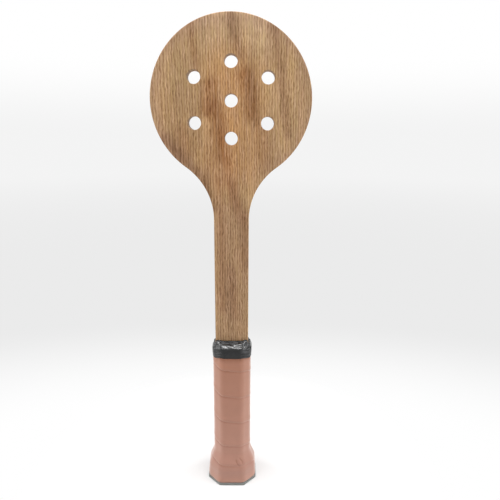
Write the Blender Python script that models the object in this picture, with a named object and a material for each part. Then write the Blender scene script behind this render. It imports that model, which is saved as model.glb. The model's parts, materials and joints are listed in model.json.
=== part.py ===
"""A wooden training paddle: a round oak blade with seven holes on a straight shaft, and an octagonal
handle that is capped, stapled, wrapped twice and closed with vinyl tape.

Metres, +Z up. The origin is the middle of the butt's flat end, +Z runs along the paddle to its head,
and -Y is the front.
"""

import math

import bmesh
import bpy
from mathutils import Vector
from mathutils.kdtree import KDTree

# Overall sizes.
TOTAL_LENGTH = 0.450
HEAD_DIAMETER = 0.140
HANDLE_LENGTH = 0.1505  # from the butt's end to where the scales start to slope in

# The oak board.
BOARD_THICKNESS = 0.012
SHAFT_WIDTH = 0.032
NECK_RADIUS = 0.058
BOARD_EDGE_RADIUS = 0.001

# The holes: one in the middle of the head, one above it, one below it and two at each side.
HOLE_DIAMETER = 0.0116
HOLE_RISE = 0.032
SIDE_HOLE_OFFSET = 0.032
SIDE_HOLE_RISE = 0.019
HOLE_EASE = 0.0004

# The octagonal handle: the board's tang with a scale glued to each face.
HANDLE_DEPTH = 0.026
HANDLE_CORNER_RADIUS = 0.0005
HANDLE_TOP_SLOPE = math.radians(22)
SPIGOT_STEP = 0.0016  # how far the handle's end is let in, all round, for the cap

# The butt cap, from its rim up.
CAP_HEIGHT = 0.044
CAP_FLOOR = 0.003
RIM_HEIGHT = 0.0033
RIM_EASE = 0.0006
FLARE_FOOT = 0.014
FLARE_TOP = 0.034  # above it the cap is flush with the handle
BUTT_FLARE = 0.0052
BUTT_DRAFT = 0.0008

# The staples that hold the cap on.
STAPLE_HEIGHT = 0.039
STAPLE_CROWN = 0.006
STAPLE_LEG = 0.008
STAPLE_WIRE = 0.0006
STAPLE_SINK = 0.0002

# The two wraps. The pitch is shorter over the butt cap, for as many turns as given.
BASE_GRIP_THICKNESS = 0.0008
BASE_GRIP_PITCH = 0.025
BASE_GRIP_BUTT_PITCH = 0.021
OVERGRIP_THICKNESS = 0.0006
OVERGRIP_PITCH = 0.0284
OVERGRIP_BUTT_PITCH = 0.0205
BUTT_TURNS = 2
SEAM_GAP = 0.0005  # between the edges of neighbouring turns
OVERGRIP_SEAM_RISE = 0.00025  # how far a turn's lower edge stands off the turn below
WRAP_TAIL = 0.004  # the narrowest that a wrap is cut at its ends
GRIP_SHORTFALL = 0.0022  # how far the wraps stop below the scales' upper edge

# The vinyl tape at the top of the grip: a band on the wraps, then a lip that leans in to the shaft.
TAPE_THICKNESS = 0.0004
TAPE_BAND = 0.010
TAPE_RISE = 0.0055  # the most that the lip climbs above the band, unless deeper scales need more
TAPE_LAP_TURNS = 0.2
TAPE_LAP_GAP = 0.00045
TAPE_LAP_RAMP_TURNS = 0.08

# How finely round shapes are cut.
HEAD_STEPS = 40
NECK_STEPS = 10
HOLE_STEPS = 28
EDGE_STEPS = 2
CAP_ROWS = 16
BASE_GRIP_ROWS = 8
OVERGRIP_ROWS = 10
FLAT_STEPS = 5
CORNERS = 8

# Clearances.
FIT_GAP = 0.0003  # between pieces that touch
WRAP_GAP = 0.0004  # between the two wraps
TAPE_SLOPE_GAP = 0.0006  # between the tape's lip and the scales' sloped ends
CUT_OVERSHOOT = 0.002

# Values that follow from the sizes above.
HALF_SHAFT = SHAFT_WIDTH / 2
HALF_BOARD = BOARD_THICKNESS / 2
HALF_DEPTH = HANDLE_DEPTH / 2
SCALE_THICKNESS = HALF_DEPTH - HALF_BOARD
MITRE = 2 - math.sqrt(2)  # how much a 45 degree bevel grows when an octagon grows by one
HEAD_RADIUS = HEAD_DIAMETER / 2
HEAD_HEIGHT = TOTAL_LENGTH - HEAD_RADIUS
CORE_FOOT = CAP_FLOOR + FIT_GAP
SPIGOT_TOP = CAP_HEIGHT + FIT_GAP
WRAP_FOOT = RIM_HEIGHT + FIT_GAP
WRAP_TOP = HANDLE_LENGTH - GRIP_SHORTFALL
BASE_GRIP_DEPTH = FIT_GAP
OVERGRIP_DEPTH = BASE_GRIP_DEPTH + BASE_GRIP_THICKNESS + WRAP_GAP
GRIP_DEPTH = OVERGRIP_DEPTH + OVERGRIP_THICKNESS
TAPE_DEPTH = GRIP_DEPTH + OVERGRIP_SEAM_RISE + FIT_GAP
TAPE_RUN = HALF_DEPTH + TAPE_DEPTH - HALF_BOARD - FIT_GAP
TAPE_LIP = TAPE_RUN / math.cos(HANDLE_TOP_SLOPE)
TAPE_KNEE = (
    HANDLE_LENGTH
    - math.tan(HANDLE_TOP_SLOPE) * TAPE_DEPTH
    + TAPE_SLOPE_GAP / math.cos(HANDLE_TOP_SLOPE)
)
TAPE_FOOT = TAPE_KNEE - TAPE_BAND
# Corners of the octagon, counted from the right side by way of the back.
BACK_LEFT = 2
FRONT_LEFT = 5


def clear_scene():
    for obj in list(bpy.data.objects):
        bpy.data.objects.remove(obj)


def make_material(name, colour, roughness, metallic=0.0):
    material = bpy.data.materials.new(name)
    material.use_nodes = True
    shader = material.node_tree.nodes["Principled BSDF"]
    shader.inputs["Base Color"].default_value = (*colour, 1.0)
    shader.inputs["Roughness"].default_value = roughness
    shader.inputs["Metallic"].default_value = metallic
    return material


def make_object(name, bm):
    bmesh.ops.recalc_face_normals(bm, faces=bm.faces)
    mesh = bpy.data.meshes.new(name)
    bm.to_mesh(mesh)
    bm.free()
    obj = bpy.data.objects.new(name, mesh)
    bpy.context.scene.collection.objects.link(obj)
    return obj


def make_piece(name, bm, material, parent):
    piece = make_object(name, bm)
    piece.data.materials.append(material)
    piece.data.shade_smooth()
    piece.data.set_sharp_from_angle(angle=math.radians(35))
    piece.parent = parent
    return piece


def make_helper(name, bm):
    helper = make_object(name, bm)
    helper.hide_render = True
    helper.display_type = "WIRE"
    return helper


def combine(piece, helper, operation):
    modifier = piece.modifiers.new(f"{operation} {helper.name}", "BOOLEAN")
    modifier.operation = operation
    modifier.object = helper
    modifier.solver = "EXACT"


def add_loft(bm, rings):
    """A skin over rings of equally many points, capped at its two ends."""
    loops = [[bm.verts.new(point) for point in ring] for ring in rings]
    bm.faces.new(loops[0])
    bm.faces.new(loops[-1])
    count = len(loops[0])
    for lower, upper in zip(loops, loops[1:]):
        for i in range(count):
            j = (i + 1) % count
            bm.faces.new((lower[i], lower[j], upper[j], upper[i]))


def arc(centre, radius, start, end, steps):
    angles = [start + (end - start) * step / steps for step in range(steps + 1)]
    return [centre + radius * Vector((math.cos(a), math.sin(a))) for a in angles]


def at_height(outline, height):
    return [Vector((point.x, point.y, height)) for point in outline]


def smooth_step(share):
    share = min(max(share, 0.0), 1.0)
    return share * share * (3 - 2 * share)


def flare(height):
    """How far the cap stands out past the straight handle at this height."""
    spread = smooth_step((FLARE_TOP - height) / (FLARE_TOP - FLARE_FOOT))
    draft = max(1 - height / FLARE_FOOT, 0.0)
    return BUTT_FLARE * spread + BUTT_DRAFT * draft


def handle_outline(spread, depth=0.0):
    """The octagon of the handle, spread outward with square corners, with a layer of this depth round it."""
    grown = spread - HANDLE_CORNER_RADIUS
    radius = HANDLE_CORNER_RADIUS + depth
    side = HALF_SHAFT + grown
    front = HALF_DEPTH + grown
    bevel = SCALE_THICKNESS + MITRE * grown
    low, near = front - bevel, side - bevel
    corners = [
        (side, low),
        (near, front),
        (-near, front),
        (-side, low),
        (-side, -low),
        (-near, -front),
        (near, -front),
        (side, -low),
    ]
    turn = math.tau / CORNERS
    outline = []
    for number, corner in enumerate(corners):
        outline += arc(Vector(corner), radius, turn * number, turn * (number + 1), 1)
    return outline


def divide_flats(outline):
    """The outline with more points along each flat, so that a skin can twist over it."""
    points = []
    for i in range(0, len(outline), 2):
        start = outline[i + 1]
        end = outline[(i + 2) % len(outline)]
        points.append(outline[i])
        points += [start.lerp(end, step / FLAT_STEPS) for step in range(FLAT_STEPS)]
    return points


def climbing_order(outline, corner):
    """Indices round the outline from this corner, clockwise seen from above."""
    count = len(outline)
    first = corner * count // CORNERS
    return [(first - step) % count for step in range(count)]


def turn_shares(outline, order):
    """How far round the outline each point is, as a share of one turn."""
    path = [outline[i] for i in order]
    steps = [(b - a).length for a, b in zip(path, path[1:] + path[:1])]
    return [sum(steps[:i]) / sum(steps) for i in range(len(steps))]


def tang_half_width():
    """The spigot's half width in the board, whose rounded edges must stay inside the spigot's bevels."""
    across = HALF_SHAFT + HALF_BOARD - SPIGOT_STEP * math.sqrt(2)
    return min(HALF_SHAFT - SPIGOT_STEP, across - HALF_BOARD + MITRE * BOARD_EDGE_RADIUS)


def board_outline():
    """The board seen from the front, as (x, z): up the right side, over the head and down the left."""
    tang = tang_half_width()
    beside = HALF_SHAFT + NECK_RADIUS
    below = math.sqrt((HEAD_RADIUS + NECK_RADIUS) ** 2 - beside**2)
    head = Vector((0, HEAD_HEIGHT))
    neck = Vector((beside, HEAD_HEIGHT - below))
    meeting = math.atan2(below, -beside)
    right = [Vector((tang, CORE_FOOT)), Vector((tang, SPIGOT_TOP)), Vector((HALF_SHAFT, SPIGOT_TOP))]
    right += arc(neck, NECK_RADIUS, math.pi, meeting, NECK_STEPS)
    right += arc(head, HEAD_RADIUS, meeting - math.pi, math.pi / 2, HEAD_STEPS)[1:]
    left = [Vector((-point.x, point.y)) for point in reversed(right[:-1])]
    return right + left


def hole_places():
    places = [(0, 0), (0, HOLE_RISE), (0, -HOLE_RISE)]
    for side in (-1, 1):
        places += [(side * SIDE_HOLE_OFFSET, rise) for rise in (-SIDE_HOLE_RISE, SIDE_HOLE_RISE)]
    return [(x, HEAD_HEIGHT + rise) for x, rise in places]


def make_hole_cutter():
    """Seven spools, whose flared ends ease the edges of the holes."""
    radius = HOLE_DIAMETER / 2
    mouth = HALF_BOARD + CUT_OVERSHOOT
    throat = HALF_BOARD - HOLE_EASE
    wide = radius + HOLE_EASE + CUT_OVERSHOOT
    bm = bmesh.new()
    for x, z in hole_places():
        rings = []
        for y, size in ((-mouth, wide), (-throat, radius), (throat, radius), (mouth, wide)):
            circle = arc(Vector((x, z)), size, 0, math.tau, HOLE_STEPS)[:-1]
            rings.append([Vector((point.x, y, point.y)) for point in circle])
        add_loft(bm, rings)
    return make_helper("hole_cutter", bm)


def make_blade(material, parent):
    bm = bmesh.new()
    outline = board_outline()
    faces = [[Vector((point.x, y, point.y)) for point in outline] for y in (-HALF_BOARD, HALF_BOARD)]
    add_loft(bm, faces)
    bmesh.ops.recalc_face_normals(bm, faces=bm.faces)
    rims = [edge for edge in bm.edges if any(len(face.verts) > 4 for face in edge.link_faces)]
    bmesh.ops.bevel(
        bm,
        geom=rims,
        offset=BOARD_EDGE_RADIUS,
        segments=EDGE_STEPS,
        profile=0.5,
        affect="EDGES",
    )
    blade = make_piece("blade", bm, material, parent)
    combine(blade, make_hole_cutter(), "DIFFERENCE")
    return blade


def make_handle_core():
    """The outside of the wooden handle: the spigot for the cap, then the full octagon."""
    spigot = handle_outline(-SPIGOT_STEP)
    full = handle_outline(0)
    above_slope = HANDLE_LENGTH + SCALE_THICKNESS
    bm = bmesh.new()
    add_loft(
        bm,
        [
            at_height(spigot, CORE_FOOT),
            at_height(spigot, SPIGOT_TOP),
            at_height(full, SPIGOT_TOP),
            at_height(full, above_slope),
        ],
    )
    return make_helper("handle_core", bm)


def make_scales(material, parent):
    """Two slabs, one on each face of the tang, cut to the octagon and sloped at the top."""
    core = make_handle_core()
    inside = HALF_BOARD + FIT_GAP
    outside = HALF_DEPTH + CUT_OVERSHOOT
    for name, side in (("handle_scale_front", -1), ("handle_scale_back", 1)):
        profile = [(inside, 0.0), (outside, 0.0)]
        for y in (outside, inside):
            profile.append((y, HANDLE_LENGTH + math.tan(HANDLE_TOP_SLOPE) * (HALF_DEPTH - y)))
        reach = HALF_SHAFT + CUT_OVERSHOOT
        bm = bmesh.new()
        add_loft(bm, [[Vector((x, side * y, z)) for y, z in profile] for x in (-reach, reach)])
        scale = make_piece(name, bm, material, parent)
        combine(scale, core, "INTERSECT")


def make_cap(material, parent):
    """A cup with a rim at its foot, a flared outside for the wraps and a socket for the spigot."""
    rim = flare(0.0)
    socket = handle_outline(-SPIGOT_STEP, FIT_GAP)
    rings = [
        at_height(handle_outline(rim - RIM_EASE, GRIP_DEPTH), 0.0),
        at_height(handle_outline(rim, GRIP_DEPTH), RIM_EASE),
        at_height(handle_outline(rim, GRIP_DEPTH), RIM_HEIGHT),
    ]
    for row in range(CAP_ROWS + 1):
        height = RIM_HEIGHT + (CAP_HEIGHT - RIM_HEIGHT) * row / CAP_ROWS
        rings.append(at_height(handle_outline(flare(height)), height))
    rings += [at_height(socket, CAP_HEIGHT), at_height(socket, CAP_FLOOR)]
    bm = bmesh.new()
    add_loft(bm, rings)
    return make_piece("butt_cap", bm, material, parent)


def staple_outline(grow, above):
    """A staple seen from above, driven in from the right, as its own shape or as its pocket's."""
    face = HALF_SHAFT + flare(STAPLE_HEIGHT) - STAPLE_SINK
    wide = STAPLE_CROWN / 2 + grow
    narrow = STAPLE_CROWN / 2 - STAPLE_WIRE - grow
    tip = face - STAPLE_LEG - grow
    under = face - STAPLE_WIRE - grow
    half = [(face + above, wide), (tip, wide), (tip, narrow), (under, narrow)]
    return half + [(x, -y) for x, y in reversed(half)]


def make_staples(material, parent, holed):
    for name, side in (("left", -1), ("right", 1)):
        for grow, above in ((0.0, 0.0), (FIT_GAP, CUT_OVERSHOOT)):
            outline = [Vector((side * x, y)) for x, y in staple_outline(grow, above)]
            half_wire = STAPLE_WIRE / 2 + grow
            bm = bmesh.new()
            add_loft(bm, [at_height(outline, STAPLE_HEIGHT + lift) for lift in (-half_wire, half_wire)])
            if grow:
                pocket = make_helper(f"staple_pocket_{name}", bm)
                for piece in holed:
                    combine(piece, pocket, "DIFFERENCE")
            else:
                make_piece(f"cap_staple_{name}", bm, material, parent)


def least_gap(stations, per_turn):
    """The least distance between points of a strip that are at least half a turn apart."""
    points = [(point, number) for number, station in enumerate(stations) for point in station]
    tree = KDTree(len(points))
    for index, (point, _) in enumerate(points):
        tree.insert(point, index)
    tree.balance()
    reach = 8 * SEAM_GAP
    gaps = []
    for point, number in points:
        for _, index, distance in tree.find_range(point, reach):
            if abs(points[index][1] - number) > per_turn / 2:
                gaps.append(distance)
    return min(gaps)


def make_strip(name, stations, per_turn, material, parent):
    """One unbroken strip, from the closed outline of its section at each station."""
    bm = bmesh.new()
    add_loft(bm, stations)
    print(f"{name}: least gap to itself {least_gap(stations, per_turn) * 1000:.2f} mm")
    return make_piece(name, bm, material, parent)


def make_wrap(name, depth, thickness, rise, rows, butt_pitch, pitch, material, parent):
    """A strip that climbs the handle clockwise, cut level at the rim and at the top."""
    straight = handle_outline(0, depth)
    order = climbing_order(straight, FRONT_LEFT)
    shares = turn_shares(straight, order)
    per_turn = len(order)

    def seam(turns):
        return WRAP_FOOT + butt_pitch * min(turns, BUTT_TURNS) + pitch * max(turns - BUTT_TURNS, 0)

    stations = []
    most_turns = math.ceil(WRAP_TOP / butt_pitch)
    for number in range(-per_turn, most_turns * per_turn):
        index = order[number % per_turn]
        turns = number // per_turn + shares[number % per_turn]
        low = max(seam(turns), WRAP_FOOT)
        high = min(seam(turns + 1) - SEAM_GAP, WRAP_TOP)
        if high - low < WRAP_TAIL:
            continue
        outer, inner = [], []
        for row in range(rows + 1):
            share = row / rows
            height = low + (high - low) * share
            under = depth + rise * (1 - share)
            for line, layer in ((inner, under), (outer, under + thickness)):
                point = handle_outline(flare(height), layer)[index]
                line.append(Vector((point.x, point.y, height)))
        stations.append(outer + inner[::-1])
    return make_strip(name, stations, per_turn, material, parent)


def board_point(point, depth):
    """The point of the shaft's section, with a layer of this depth round it, that is nearest."""
    across = HALF_SHAFT - BOARD_EDGE_RADIUS
    through = HALF_BOARD - BOARD_EDGE_RADIUS
    inside = Vector((min(max(point.x, -across), across), min(max(point.y, -through), through)))
    return inside + (point - inside).normalized() * (BOARD_EDGE_RADIUS + depth)


def climb_over_scale(point, inward):
    """The least that a lip climbs from this point on its way in, to clear the scale's sloped end."""
    outer = HALF_DEPTH + TAPE_DEPTH - abs(point.y)
    return math.tan(HANDLE_TOP_SLOPE) * abs(inward.y) * (1 + outer / (math.sqrt(2) * TAPE_DEPTH))


def make_tape(material, parent):
    """A strip once round the grip and lapped at the back. Where it leans in more, its lip ends lower."""
    base = divide_flats(handle_outline(0, TAPE_DEPTH))
    order = climbing_order(base, BACK_LEFT)
    shares = turn_shares(base, order)
    per_turn = len(order)
    lap_lift = TAPE_THICKNESS + TAPE_LAP_GAP
    stations = []
    for number in range(2 * per_turn):
        index = order[number % per_turn]
        turns = number // per_turn + shares[number % per_turn]
        if turns > 1 + TAPE_LAP_TURNS:
            break
        lift = lap_lift * smooth_step(1 + (turns - 1) / TAPE_LAP_RAMP_TURNS)
        inward = board_point(base[index], FIT_GAP) - base[index]
        run = inward.length
        most = max(TAPE_RISE, climb_over_scale(base[index], inward))
        rise = min(math.sqrt(TAPE_LIP**2 - run**2), most)
        slant = math.hypot(run, rise)
        sine, cosine = rise / slant, run / slant
        lines = []
        for layer in (lift + TAPE_THICKNESS, lift):
            band = divide_flats(handle_outline(0, TAPE_DEPTH + layer))[index]
            lip = board_point(base[index], FIT_GAP + layer * sine)
            knee = TAPE_KNEE + layer * (1 - sine) / cosine
            edge = TAPE_KNEE + rise + layer * cosine
            lines.append(
                [
                    Vector((band.x, band.y, TAPE_FOOT)),
                    Vector((band.x, band.y, knee)),
                    Vector((lip.x, lip.y, edge)),
                ]
            )
        stations.append(lines[0] + lines[1][::-1])
    return make_strip("finishing_tape", stations, per_turn, material, parent)


def main():
    clear_scene()
    paddle = bpy.data.objects.new("paddle", None)
    bpy.context.scene.collection.objects.link(paddle)

    oak = make_material("oiled oak", (0.30, 0.19, 0.11), 0.5)
    beech = make_material("sanded beech", (0.52, 0.37, 0.23), 0.6)
    rubber = make_material("dark grey rubber", (0.035, 0.036, 0.035), 0.7)
    steel = make_material("zinc-plated steel", (0.62, 0.62, 0.60), 0.35, 1.0)
    cushion = make_material("black cushion strip", (0.02, 0.02, 0.02), 0.8)
    salmon = make_material("salmon grip strip", (0.48, 0.22, 0.155), 0.8)
    vinyl = make_material("black vinyl tape", (0.012, 0.012, 0.012), 0.25)

    blade = make_blade(oak, paddle)
    make_scales(beech, paddle)
    cap = make_cap(rubber, paddle)
    make_staples(steel, paddle, (blade, cap))
    make_wrap(
        "base_grip",
        BASE_GRIP_DEPTH,
        BASE_GRIP_THICKNESS,
        0.0,
        BASE_GRIP_ROWS,
        BASE_GRIP_BUTT_PITCH,
        BASE_GRIP_PITCH,
        cushion,
        paddle,
    )
    make_wrap(
        "overgrip",
        OVERGRIP_DEPTH,
        OVERGRIP_THICKNESS,
        OVERGRIP_SEAM_RISE,
        OVERGRIP_ROWS,
        OVERGRIP_BUTT_PITCH,
        OVERGRIP_PITCH,
        salmon,
        paddle,
    )
    make_tape(vinyl, paddle)


main()
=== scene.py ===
# %% [markdown]
# # A wooden training paddle, finished in Blender
#
# The paddle comes to this lesson as a imported model: nine solids at their real size, in metres, standing
# upright on the butt with the front towards -Y. Their shapes are right but plain. Here each piece that
# shows gets its fine mesh and its finish, and then the whole is lit and seen by a camera.
#
# The first step loads the imported model and its record.

# %% Load the imported paddle
import json
import math
from types import SimpleNamespace

import bpy
import numpy as np
from mathutils import Matrix, Vector, noise


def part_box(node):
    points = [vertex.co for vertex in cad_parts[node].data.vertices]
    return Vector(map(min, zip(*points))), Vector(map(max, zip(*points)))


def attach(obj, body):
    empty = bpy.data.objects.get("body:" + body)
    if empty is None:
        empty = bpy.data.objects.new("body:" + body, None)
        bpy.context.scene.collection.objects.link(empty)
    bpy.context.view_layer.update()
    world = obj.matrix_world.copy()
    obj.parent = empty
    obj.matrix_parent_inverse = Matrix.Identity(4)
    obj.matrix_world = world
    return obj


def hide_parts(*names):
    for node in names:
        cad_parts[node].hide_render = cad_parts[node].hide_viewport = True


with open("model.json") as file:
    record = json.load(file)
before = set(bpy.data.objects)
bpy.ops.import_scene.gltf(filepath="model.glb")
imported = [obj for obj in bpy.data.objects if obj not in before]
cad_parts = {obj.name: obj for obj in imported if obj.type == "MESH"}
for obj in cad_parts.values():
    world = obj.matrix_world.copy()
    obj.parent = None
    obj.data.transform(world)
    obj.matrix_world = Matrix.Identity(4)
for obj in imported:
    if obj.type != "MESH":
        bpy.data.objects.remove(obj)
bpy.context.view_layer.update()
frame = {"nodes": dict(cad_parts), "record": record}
print("packed nodes:", ", ".join(sorted(frame["nodes"])))

# %% [markdown]
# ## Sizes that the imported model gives
#
# A fine mesh only fits its neighbours if both take their sizes from one place. Copying numbers from the
# drawing would work until somebody changes the drawing, so most sizes are read off the boxes of the nodes.
# A few shapes leave no trace in a box, such as the radius of the neck, and are written out as real sizes.

# %% Read the sizes off the nodes
MM = 0.001

board_low, board_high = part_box("blade")
scale_low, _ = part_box("handle_scale_front")
_, cap_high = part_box("butt_cap")
wrap_low, wrap_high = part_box("overgrip")
tape_low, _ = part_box("finishing_tape")


def half_width_below(height):
    """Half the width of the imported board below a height."""
    return max(abs(v.co.x) for v in frame["nodes"]["blade"].data.vertices if v.co.z < height)


HEAD_RADIUS = board_high.x
HEAD_HEIGHT = board_high.z - HEAD_RADIUS
HALF_BOARD = board_high.y
TANG_FOOT = board_low.z
HALF_DEPTH = -scale_low.y
SCALE_THICKNESS = HALF_DEPTH - HALF_BOARD
CAP_HEIGHT = cap_high.z
WRAP_FOOT = wrap_low.z
WRAP_TOP = wrap_high.z
TAPE_FOOT = tape_low.z
HALF_SHAFT = half_width_below(WRAP_TOP)
HALF_TANG = half_width_below(CAP_HEIGHT / 2)

NECK_RADIUS = 58 * MM
SPIGOT_STEP = 1.6 * MM
FIT_GAP = 0.3 * MM
print(f"head {2000 * HEAD_RADIUS:.0f} mm across, board {2000 * HALF_BOARD:.0f} mm thick")
print(f"grip from {1000 * WRAP_FOOT:.1f} to {1000 * WRAP_TOP:.1f} mm above the butt's end")

# %% [markdown]
# ## Writing node trees as code
#
# Geometry and materials are both made with nodes below. Placing nodes by hand in the editor is quick but
# leaves nothing to read, and one call of `nodes.new` and `links.new` for each wire makes long code. Here
# a `Field` stands for the output of a node, and arithmetic on it adds a math node. A `Wiring` adds every
# other kind of node, fills its inputs with values or fields and gives back one output, so that a tree
# reads like a sum.

# %% Fields that can be added and multiplied
class Field:
    """An output of a node. Arithmetic on it adds a math node to its tree."""

    def __init__(self, wiring, socket):
        self.wiring = wiring
        self.socket = socket

    def __add__(self, other):
        return self.wiring.calculate("ADD", self, other)

    def __sub__(self, other):
        return self.wiring.calculate("SUBTRACT", self, other)

    def __rsub__(self, other):
        return self.wiring.calculate("SUBTRACT", other, self)

    def __mul__(self, other):
        return self.wiring.calculate("MULTIPLY", self, other)

    def __truediv__(self, other):
        return self.wiring.calculate("DIVIDE", self, other)

    def __rtruediv__(self, other):
        return self.wiring.calculate("DIVIDE", other, self)

    def beside(self, name):
        """Another output of the same node."""
        return Field(self.wiring, self.socket.node.outputs[name])


def is_vector(value):
    if isinstance(value, Field):
        return value.socket.type in ("VECTOR", "RGBA")
    return isinstance(value, tuple)


# %% A helper that writes node trees
MERGE_DISTANCE = 1e-6


def spaced(name):
    """The name of a socket, which has spaces where the name of a value has underscores."""
    return name.replace("_", " ")


def by_name(wiring, sockets):
    return SimpleNamespace(**{socket.name.replace(" ", "_"): Field(wiring, socket) for socket in sockets})


class Wiring:
    """Adds nodes to one tree. Each call gives back a field that later calls can take as an input."""

    def __init__(self, tree):
        self.tree = tree

    def feed(self, socket, value):
        if isinstance(value, Field):
            self.tree.links.new(value.socket, socket)
        else:
            socket.default_value = value

    def add(self, kind, inputs=(), output=0, **named):
        """Adds a node. Of the named values, those with a capital fill inputs, the others are settings."""
        node = self.tree.nodes.new(kind)
        fed = dict(inputs)
        for name, value in named.items():
            if name[0].isupper():
                fed[spaced(name)] = value
            else:
                setattr(node, name, value)
        for name, value in fed.items():
            self.feed(node.inputs[name], value)
        return Field(self, node.outputs[output])

    def shape(self, kind, output=0, **named):
        return self.add("GeometryNode" + kind, (), output, **named)

    def math(self, operation, *values):
        return self.add("ShaderNodeMath", enumerate(values), operation=operation)

    def vector(self, operation, *values, output=0):
        return self.add("ShaderNodeVectorMath", enumerate(values), output, operation=operation)

    def calculate(self, operation, a, b):
        """Arithmetic on two numbers or on two vectors, or a vector times a number."""
        if is_vector(a) and not is_vector(b):
            return self.add("ShaderNodeVectorMath", {0: a, "Scale": b}, operation="SCALE")
        return self.vector(operation, a, b) if is_vector(b) else self.math(operation, a, b)

    def length(self, vector):
        return self.vector("LENGTH", vector, output="Value")

    def dot(self, a, b):
        return self.vector("DOT_PRODUCT", a, b, output="Value")

    def join(self, x, y, z):
        return self.add("ShaderNodeCombineXYZ", {0: x, 1: y, 2: z})

    def grey(self, value):
        return self.join(value, value, value)

    def split(self, vector):
        x = self.add("ShaderNodeSeparateXYZ", {0: vector})
        return x, x.beside(1), x.beside(2)

    def ramp(self, value, start, end, low=0.0, high=1.0, shape="SMOOTHSTEP"):
        inputs = {0: value, 1: start, 2: end, 3: low, 4: high}
        return self.add("ShaderNodeMapRange", inputs, interpolation_type=shape)

    def fall(self, value, start, end):
        return self.ramp(value, start, end, 1.0, 0.0)

    def noise(self, vector, scale=1.0, detail=2.0, roughness=0.5, output=0):
        inputs = {"Vector": vector, "Scale": scale, "Detail": detail, "Roughness": roughness}
        return self.add("ShaderNodeTexNoise", inputs, output)

    def mix(self, factor, a, b):
        return self.add("ShaderNodeMix", {0: factor, 2: a, 3: b}, data_type="FLOAT")

    def blend(self, factor, a, b, how="MIX"):
        return self.add("ShaderNodeMix", {0: factor, 6: a, 7: b}, 2, data_type="RGBA", blend_type=how)

    def tint(self, colour, factor, tint):
        return self.blend(factor, colour, tint, "MULTIPLY")

    def place(self):
        return self.add("ShaderNodeTexCoord", output="Object")

    def attribute(self, name, output="Fac"):
        return self.add("ShaderNodeAttribute", output=output, attribute_name=name)

    def bump(self, shader, height, strength, distance):
        bump = self.add("ShaderNodeBump", Strength=strength, Distance=distance, Height=height)
        self.feed(shader["Normal"], bump)

    def group(self, tree, **inputs):
        """Places a shader group and gives back its outputs by name."""
        return by_name(self, self.add("ShaderNodeGroup", node_tree=tree, **inputs).socket.node.outputs)

    def keep(self, geometry, name, value, kind="FLOAT"):
        """Stores a value on each point of a geometry."""
        return self.shape("StoreNamedAttribute", Geometry=geometry, Name=name, Value=value, data_type=kind)

    def kept(self, name, kind="FLOAT"):
        return self.shape("InputNamedAttribute", Name=name, data_type=kind)

    def gather(self, *parts):
        joined = self.shape("JoinGeometry")
        for part in parts:
            self.feed(joined.socket.node.inputs[0], part)
        return joined

    def deliver(self, geometry, spent, material, end):
        """Ends a tree in one smooth mesh with a material, without the values that only the tree used."""
        geometry = self.shape("MergeByDistance", Geometry=geometry, Distance=MERGE_DISTANCE)
        for name in spent:
            geometry = self.shape("RemoveAttribute", Geometry=geometry, Name=name)
        geometry = self.shape("SetShadeSmooth", Geometry=geometry)
        geometry = self.shape("RealizeInstances", Geometry=geometry)
        self.feed(end, self.shape("SetMaterial", Geometry=geometry, Material=material))


# %% New trees and materials
FLOAT = "NodeSocketFloat"
COUNT = "NodeSocketInt"
VECTOR = "NodeSocketVector"
GEOMETRY = "NodeSocketGeometry"
OBJECT = "NodeSocketObject"
MATERIAL = "NodeSocketMaterial"


def new_tree(kind, name, floats, others, outputs):
    """An empty tree with named sockets: its wiring, its inputs by name and the sockets to end in."""
    tree = bpy.data.node_groups.new(name, kind)
    inputs = {**others, **dict.fromkeys(floats, FLOAT)}
    for side, sockets in (("INPUT", inputs), ("OUTPUT", outputs)):
        for label, socket_kind in sockets.items():
            tree.interface.new_socket(label, in_out=side, socket_type=socket_kind)
    g = Wiring(tree)
    given = by_name(g, tree.nodes.new("NodeGroupInput").outputs)
    return g, given, tree.nodes.new("NodeGroupOutput").inputs


def new_material(name, **plain):
    """A material with these plain values on its shader, and the wiring to feed the rest."""
    material = bpy.data.materials.new(name)
    material.use_nodes = True
    shader = material.node_tree.nodes["Principled BSDF"]
    for label, value in plain.items():
        shader.inputs[spaced(label)].default_value = value
    return material, Wiring(material.node_tree), shader.inputs


# %% [markdown]
# ## Wood as a solid
#
# A board is cut from a trunk, so its figure is a solid thing: the rings run through it, show as long lines
# on the faces and as dots on the ends. A picture wrapped round the board would get the ends and the insides
# of the holes wrong. So the wood is a function of the place in space. Rings are shells round a far pith.
# In oak each ring starts with a row of wide pores, which a face cuts lengthwise into short dark dashes.
# It ends in dense late wood, which shows here and there as a pale line.
# The group is shared: the scales inside the handle use it for beech, with finer rings and few pores.

# %% The wood figure group
RING_SHIFT = 1.3
GLEAM_START = (31.0, 7.0, 3.0)
# Noise cells in a metre: across the grain both ways, and along it.
DRIFT_CELLS = (24, 24, 5)
SHIFT_CELLS = (420, 420, 150)
DASH_CELLS = (760, 760, 240)
GLEAM_CELLS = (420, 420, 150)
FIBRE_CELLS = (3600, 3600, 60)
STRAND_CELLS = (560, 560, 48)
BROAD_CELLS = (110, 110, 14)
# Shares of a ring between which its early and its late wood begin and end.
EARLY_BEGINS = (0.0, 0.22)
EARLY_ENDS = (0.32, 0.80)
LATE_BEGINS = (0.62, 0.80)
LATE_ENDS = (0.88, 1.0)


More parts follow.
